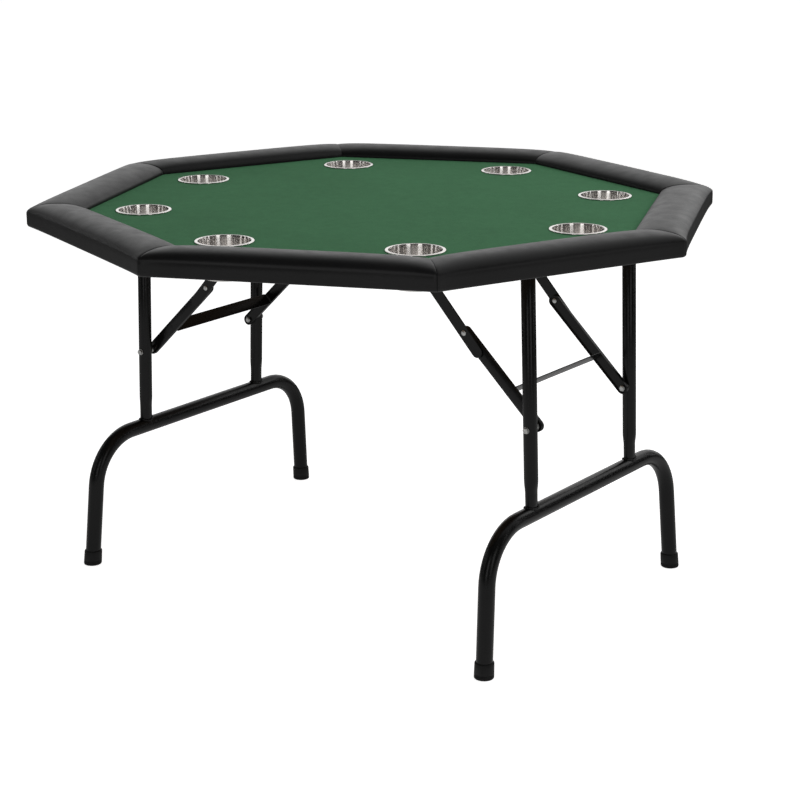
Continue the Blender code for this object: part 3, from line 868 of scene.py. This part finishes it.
def build_lower_link(label, place, side, side_y, body):
    """Pressed channel with rolled corners and two dimples, and a stud head at its elbow."""
    lower = on_side(LOWER_PIVOT, side)
    elbow = elbow_point(side)
    inner, web = LOWER_Y[0] * side_y, LOWER_Y[1] * side_y
    sheet = 2.0
    s = side_y * MM
    floor = web - HOLLOW * s
    stations = (
        (1.6, web), (0.5, web - 0.5 * s), (0.0, web - 1.6 * s), (0.0, inner + 0.3 * s),
        (0.3, inner), (sheet - 0.3, inner), (sheet, inner + 0.3 * s),
        (sheet, floor - 0.8 * s), (sheet + 0.8, floor),
    )
    parts = [loft([slot_ring(lower, elbow, LINK_R - inset * MM, y) for inset, y in stations])]
    boss = [(-0.6, 6.4), (0.5, 6.2), (0.8, 5.6), (0.8, 0.3)]
    base = Vector((elbow.x, floor, elbow.z))
    parts.append(turned(base, (0, -side_y, 0), mm(boss), 24))
    dimple = [(-1.0, 3.0), (0.05, 3.0), (0.22, 2.6), (0.28, 1.6), (0.1, 0.9), (0.0, 0.3)]
    for distance in (52.0, STRIP_AT):
        spot = lower + (elbow - lower).normalized() * distance * MM
        spot.y = web
        parts.append(turned(spot, (0, side_y, 0), mm(dimple), 20))
    name = "lower_link_%s_%s" % (label, place)
    link = add_mesh(name + "_channel", *merge(parts), PAINT, body, sharp=35)
    stand_for(name)
    head = [(0.6, 3.2), (0.8, 4.6), (1.3, 4.9), (1.9, 4.3), (2.4, 3.2), (2.6, 1.6), (2.65, 0.4)]
    stud = turned(base, (0, -side_y, 0), mm(head))
    stud = add_mesh("elbow_stud_%s_%s_head" % (label, place), *stud, ZINC, body, sharp=50)


def build_cross_strip(label, side, body):
    """Strip on edge between the channels, with rolled long edges and welded ends."""
    lower = on_side(LOWER_PIVOT, side)
    way = (elbow_point(side) - lower).normalized()
    across = Vector((-way.z, 0.0, way.x))
    mid = lower + way * STRIP_AT * MM
    reach = LOWER_Y[0] - 0.3 * MM
    half_w, half_t, r = 12.5 * MM, 0.9 * MM, 0.7 * MM
    section = []
    for k, (sa, sb) in enumerate(((-1, -1), (1, -1), (1, 1), (-1, 1))):
        section += arc(sa * (half_t - r), sb * (half_w - r), r, 180.0 + 90.0 * k, 90.0, 3)
    stations = [-reach, 1.0 * MM - reach, -0.5 * reach, 0.0, 0.5 * reach, reach - 1.0 * MM, reach]
    rings = []
    for y in stations:
        bow = 0.25 * MM * math.cos(math.pi * y / reach / 2.0)
        middle = mid + Vector((0.0, y, 0.0))
        rings.append([middle + way * (u + bow) + across * v for u, v in section])
    parts = [loft(rings)]
    for sign in (-1.0, 1.0):
        for side_t in (-1.0, 1.0):
            beads = []
            for i in range(9):
                r = (1.0 + 0.3 * math.sin(i * 2.2)) * MM * (0.4 if i in (0, 8) else 1.0)
                spot = mid + way * side_t * 1.2 * MM + across * (-9.0 + 18.0 * i / 8.0) * MM
                spot.y += sign * (reach - 0.4 * MM)
                beads.append([spot + way * r * p + Vector((0.0, r * q, 0.0))
                              for p, q in ring_points(10)])
            parts.append(loft(beads))
    name = "cross_strip_" + label
    strip = add_mesh(name + "_edge", *merge(parts), PAINT, body, sharp=40)
    stand_for(name)


def hex_head(start, height, flats):
    """Profile of a chamfered hexagon, in millimetres."""
    top = start + height
    return [
        (start, flats - 0.6), (start + 0.4, flats, True), (top - 0.8, flats, True),
        (top, flats - 0.7), (top, flats - 1.6), (top - 0.2, flats - 2.2), (top - 0.2, 0.4),
    ]


def build_bolt_set(name, pivot, side_y, pieces, body=TOP):
    """A bolt with all that is on it. pieces hold (y, way, profile in millimetres, count)."""
    parts = []
    for y, way, profile, count in pieces:
        origin = Vector((pivot.x, side_y * y, pivot.z))
        parts.append(turned(origin, (0, way * side_y, 0), mm(profile), count))
    bolt = add_mesh(name + "_set", *merge(parts), ZINC, body, sharp=30)
    stand_for(name)


def build_brace_bolt(label, place, side, side_y, body):
    """Hex bolt through the upright, with a washer, a spacer and a lock nut in the channel."""
    face = UPRIGHT_Y + UPRIGHT_R + 0.3 * MM
    nut_y = UPRIGHT_Y - NUT_Y
    washer = [(0.0, 3.5), (0.0, 5.9), (0.3, 6.1), (0.8, 6.1), (1.0, 5.9), (1.0, 3.5)]
    spacer = [(0.0, 4.0), (0.0, 6.6), (0.4, 7.0), (5.2, 7.0), (5.6, 6.6), (5.6, 4.0), (8.4, 4.0)]
    build_bolt_set("brace_bolt_%s_%s" % (label, place), on_side(LOWER_PIVOT, side), side_y, [
        (face, 1, washer, 36),
        (face, 1, [(0.8, 3.0)] + hex_head(1.0, 3.9, 4.6), 36),
        (UPRIGHT_Y - 13.0 * MM, -1, spacer, 36),
        (nut_y, -1, [(0.0, 4.8)] + hex_head(0.1, 4.4, 5.2), 36),
        (nut_y, -1, [(4.0, 3.9), (5.4, 3.9), (5.8, 3.4), (5.8, 0.4)], 24),
    ], body)


def build_hinge_bolt(label, place, side, side_y):
    """Hex bolt and lock nut through the upright and both cheeks of its bracket."""
    outer = UPRIGHT_Y + UPRIGHT_R + 2.8 * MM
    inner = UPRIGHT_Y - UPRIGHT_R - 2.8 * MM
    head = [(-0.4, 3.0)] + hex_head(0.0, 5.0, 6.5)
    span = (outer - inner) / MM + 0.4
    build_bolt_set("hinge_bolt_%s_%s" % (label, place), on_side(LEG_TOP, side), side_y, [
        (outer, 1, head, 36),
        (inner, -1, head, 36),
        (inner, -1, [(4.0, 3.9), (6.2, 3.9), (6.6, 3.4), (6.6, 0.4)], 24),
        (inner - 0.2 * MM, 1, [(0.0, 3.9), (span, 3.9)], 24),
    ])


def rounded_plate(x0, x1, y0, y1, z0, z1, radius, ease=0.4 * MM):
    """A flat plate with round corners and eased edges."""
    rings = []
    for z, inset in ((z0, ease), (z0 + ease, 0.0), (z1 - ease, 0.0), (z1, ease)):
        ring = []
        for cx, cy, first in ((x1, y1, 0), (x0, y1, 90), (x0, y0, 180), (x1, y0, 270)):
            mx = cx - math.copysign(radius, cx - (x0 + x1) / 2.0)
            my = cy - math.copysign(radius, cy - (y0 + y1) / 2.0)
            ring += [Vector((u, v, z)) for u, v in arc(mx, my, radius - inset, first, 90.0, 5)]
        rings.append(ring)
    return loft(rings)


def cheek(x, z, y0, y1, half_width, top, ease=0.35 * MM):
    """A hanging cheek plate with a round lower end and eased edges."""
    step = math.copysign(ease, y1 - y0)
    rings = []
    for y, inset in ((y0, ease), (y0 + step, 0.0), (y1 - step, 0.0), (y1, ease)):
        w = half_width - inset
        ring = [Vector((x - w, y, top)), Vector((x - w, y, z))]
        for i in range(1, 16):
            a = math.pi + math.pi * i / 16.0
            ring.append(Vector((x + w * math.cos(a), y, z + w * math.sin(a))))
        ring += [Vector((x + w, y, z)), Vector((x + w, y, top))]
        rings.append(ring)
    return loft(rings)


def pan_screw(x, y, z):
    """Pan-head wood screw seen from below, with a round recess."""
    head = [(-0.2, 1.8), (0.0, 3.9), (0.5, 4.0), (1.2, 3.7), (1.8, 2.9), (2.1, 1.9),
            (1.5, 1.4), (0.9, 0.9), (0.7, 0.2)]
    return turned(Vector((x, y, z)), (0, 0, -1), mm(head), 20)


def build_screws(name, spots, z):
    screws = add_mesh(name, *merge([pan_screw(x, y, z) for x, y in spots]), ZINC, sharp=50)


def build_hinge_bracket(label, place, side, side_y):
    """Pressed U bracket on the board: plate, two cheeks, outer stop web and four screws."""
    x, y = side * LEG_TOP.x, side_y * UPRIGHT_Y
    dx, dy = 22 * MM, 27 * MM
    inner, outer = UPRIGHT_R + 0.5 * MM, UPRIGHT_R + 2.5 * MM
    web_top, edge = PLATE_LOW + 0.9 * MM, 0.9 * MM
    top = PLATE_LOW + PLATE
    parts = [rounded_plate(x - dx, x + dx, y - dy, y + dy, PLATE_LOW, top, 4.0 * MM)]
    for sign in (-1.0, 1.0):
        y0, y1 = y + sign * inner, y + sign * outer
        parts.append(cheek(x, LEG_TOP.z, y0, y1, 11.0 * MM, web_top))
    x0, x1 = sorted((side * (LEG_TOP.x + 14.6 * MM), side * (LEG_TOP.x + 16.6 * MM)))
    low = LEG_TOP.z - 6 * MM
    parts.append(rounded_plate(x0, x1, y - outer, y + outer, low, web_top, edge))
    x0, x1 = sorted((side * (LEG_TOP.x + 8.0 * MM), side * (LEG_TOP.x + 16.0 * MM)))
    low = LEG_TOP.z - 5 * MM
    for sign in (-1.0, 1.0):
        y0, y1 = sorted((y + sign * (inner + 0.05 * MM), y + sign * (outer - 0.05 * MM)))
        parts.append(rounded_plate(x0, x1, y0, y1, low, PLATE_LOW + 0.8 * MM, edge))
    name = "hinge_bracket_%s_%s" % (label, place)
    bracket = add_mesh(name + "_pressed", *merge(parts), PAINT, sharp=35)
    stand_for(name)
    spots = [(x + a * 16 * MM, y + b * 21.5 * MM) for a in (-1, 1) for b in (-1, 1)]
    build_screws(name + "_screws", spots, PLATE_LOW)


def build_brace_saddle(label, side):
    """Pressed plate on the board: two cheeks for the rod, two ribs and four screws."""
    x = side * UPPER_PIVOT.x
    _, reach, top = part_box("brace_saddle_right")[1]
    low = top - PLATE
    parts = [rounded_plate(x - 20 * MM, x + 20 * MM, -reach, reach, low, top, 6.0 * MM)]
    for sign in (-1.0, 1.0):
        y0, y1 = sign * (UPRIGHT_Y - 34 * MM), sign * (UPRIGHT_Y - 32 * MM)
        parts.append(cheek(x, UPPER_PIVOT.z, y0, y1, 9.0 * MM, top - 0.9 * MM))
    rib_end = 118 * MM
    for off in (-11.0, 11.0):
        rings = []
        for half, drop in ((1.6, 0.0), (1.1, 0.6), (0.4, 0.9)):
            ring = []
            for end, first in ((1.0, -90.0), (-1.0, 90.0)):
                for i in range(7):
                    a = math.radians(first + 180.0 * i / 6.0)
                    rib_x = x + off * MM - half * MM * math.sin(a)
                    rib_y = end * rib_end + half * MM * math.cos(a)
                    ring.append(Vector((rib_x, rib_y, low - drop * MM)))
            rings.append(ring)
        parts.append(loft(rings))
    name = "brace_saddle_" + label
    saddle = add_mesh(name + "_pressed", *merge(parts), PAINT, sharp=35)
    stand_for(name)
    rows = (12.0 * MM - reach, -60.0 * MM, 60.0 * MM, reach - 12.0 * MM)
    build_screws(name + "_screws", [(x, y) for y in rows], low)


def build_brace_rod(label, side, body):
    """Plain rod with peened ends through the upper links."""
    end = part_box("brace_rod_right")[1][1] / MM
    half = [(0.0, 4.0), (end - 1.8, 4.0), (end - 1.8, 6.3), (end - 1.2, 6.5),
            (end - 0.5, 5.9), (end, 4.2), (end, 0.5)]
    profile = [(-a, r) for a, r in half[::-1]] + half[1:]
    rod = turned(on_side(UPPER_PIVOT, side), (0, 1, 0), mm(profile))
    rod = add_mesh("brace_rod_%s_peened" % label, *rod, ZINC, body, sharp=40)
    stand_for("brace_rod_" + label)


def build_leg_frame(label, side):
    leg = "leg_frame_" + label
    lower = "lower_links_" + label
    upper = "upper_links_" + label
    build_foot_tube(label, side, leg)
    build_cross_strip(label, side, lower)
    build_brace_saddle(label, side)
    build_brace_rod(label, side, upper)
    for side_y, place in ((-1.0, "front"), (1.0, "rear")):
        build_upright(label, place, side, side_y, leg)
        build_foot_cap(label, place, side, side_y, leg)
        build_brace_bolt(label, place, side, side_y, leg)
        build_hinge_bolt(label, place, side, side_y)
        build_hinge_bracket(label, place, side, side_y)
        build_upper_link(label, place, side, side_y, upper)
        build_lower_link(label, place, side, side_y, lower)


# -------- stage

DARK_STUDIO = 0.045
SWEEP = 1.24
CEILING = 0.06
OVERHEAD_POWER = 18.0
PANEL_POWER = 9.5
BOX = (1.15, 16.0)          # width in metres, and power for each metre of it
STRIP = (0.26, 22.0)
LAMPS = (                   # name, degrees from the camera's side, width and power
    ("box_left", -17.0, BOX), ("box_right", 28.0, BOX),
    ("strip_left", -70.0, STRIP), ("strip_mid_left", -92.0, STRIP),
    ("strip_far_left", -116.0, STRIP), ("strip_right", 72.0, STRIP),
    ("strip_mid_right", 94.0, STRIP), ("strip_far_right", 118.0, STRIP),
)
LAMP_REACH = 4.4
LAMP_MID = 1.9
LAMP_TALL = 2.6
STAGE_R = 14.0
CAMERA_PLACE = (2.2009, -2.9303, 1.4075)
PITCH = math.radians(-16.236)
ROLL = math.radians(-0.169)
LENS = 88.55


def paint_nodes():
    """CAD nodes that stay: the board and the wooden ring."""
    for node in ("tabletop_board", "rail_base"):
        for slot in frame["nodes"][node].material_slots:
            slot.material = BOARD


def build_stage():
    rim = [(STAGE_R * u, STAGE_R * v, 0.0) for u, v in ring_points(64)]
    mesh = bpy.data.meshes.new("floor")
    mesh.from_pydata(rim, [], [tuple(range(len(rim)))])
    mesh.materials.append(make_floor())
    add_object("floor", mesh)


def add_area(name, place, target, size, power):
    light = bpy.data.lights.new(name, "AREA")
    light.shape = "RECTANGLE"
    light.size, light.size_y = size
    light.energy = power
    lamp = add_object(name, light)
    lamp.location = place
    lamp.visible_camera = False
    way = Vector(target) - Vector(place)
    lamp.rotation_euler = way.to_track_quat("-Z", "Y").to_euler()


def build_world():
    """White to the camera. To all else, a dark studio with a bright sweep behind the table."""
    world = bpy.data.worlds.new("studio")
    bpy.context.scene.world = world
    world.use_nodes = True
    tree = world.node_tree
    seen = tree.nodes["Background"]
    seen.inputs["Color"].default_value = (1.0, 1.0, 1.0, 1.0)
    seen.inputs["Strength"].default_value = 1.0
    room = tree.nodes.new("ShaderNodeBackground")
    coords = tree.nodes.new("ShaderNodeTexCoord").outputs["Generated"]
    behind = Vector((0.0, 0.0, 0.12)) - TO_CAMERA
    total = None
    for direction, start, full, strength in (
            (behind, 0.6, 0.97, SWEEP), ((0.0, 0.0, 1.0), 0.25, 0.95, CEILING)):
        along = dot_with(tree, coords, direction)
        part = map_range(tree, along, 0.0, strength, start, full, "SMOOTHSTEP")
        add = tree.nodes.new("ShaderNodeMath")
        add.operation = "ADD"
        tree.links.new(part, add.inputs[0])
        if total is None:
            add.inputs[1].default_value = DARK_STUDIO
        else:
            tree.links.new(total, add.inputs[1])
        total = add.outputs["Value"]
    tree.links.new(total, room.inputs["Strength"])
    split_for_camera(tree, seen.outputs["Background"], room.outputs["Background"], "World Output")


def build_lights():
    """A wide overhead box, a panel behind, and upright boxes round the camera's side and ends."""
    build_world()
    add_area("overhead", (1.1, 1.0, 2.9), (0.3, 0.2, 0.7), (3.0, 3.0), OVERHEAD_POWER)
    add_area("panel_behind", (0.6, 2.6, 2.15), (0.2, 0.0, 0.75), (2.4, 1.3), PANEL_POWER)
    right = Vector((-TO_CAMERA.y, TO_CAMERA.x, 0.0))
    for name, turn, (wide, power) in LAMPS:
        a = math.radians(turn)
        place = (TO_CAMERA * math.cos(a) + right * math.sin(a)) * LAMP_REACH
        place.z = LAMP_MID
        add_area(name, place, (0.0, 0.0, 0.7), (wide, LAMP_TALL), power * wide)


def build_camera():
    """The photograph's viewpoint, fitted to the table's own corners, cups and feet."""
    camera = bpy.data.cameras.new("camera")
    camera.sensor_fit = "HORIZONTAL"
    camera.sensor_width = 36.0
    camera.lens = LENS
    camera.clip_end = 60.0
    ahead = Vector((-math.sin(YAW), math.cos(YAW), 0.0)) * math.cos(PITCH)
    ahead.z = math.sin(PITCH)
    level = Vector((math.cos(YAW), math.sin(YAW), 0.0))
    up = level.cross(ahead)
    right = level * math.cos(ROLL) + up * math.sin(ROLL)
    up = up * math.cos(ROLL) - level * math.sin(ROLL)
    turn = Matrix((right, up, -ahead)).transposed().to_4x4()
    obj = add_object("camera", camera)
    obj.matrix_world = Matrix.Translation(CAMERA_PLACE) @ turn
    bpy.context.scene.camera = obj


paint_nodes()
for pad_index in range(SIDES):
    build_rail_pad(pad_index)
build_corner_stitches()
build_flap_staples()
build_felt()
for cup_index in range(SIDES):
    build_cup(cup_index)
build_leg_frame("left", -1.0)
build_leg_frame("right", 1.0)
build_stage()
build_lights()
build_camera()
bpy.context.scene.view_settings.view_transform = "Standard"
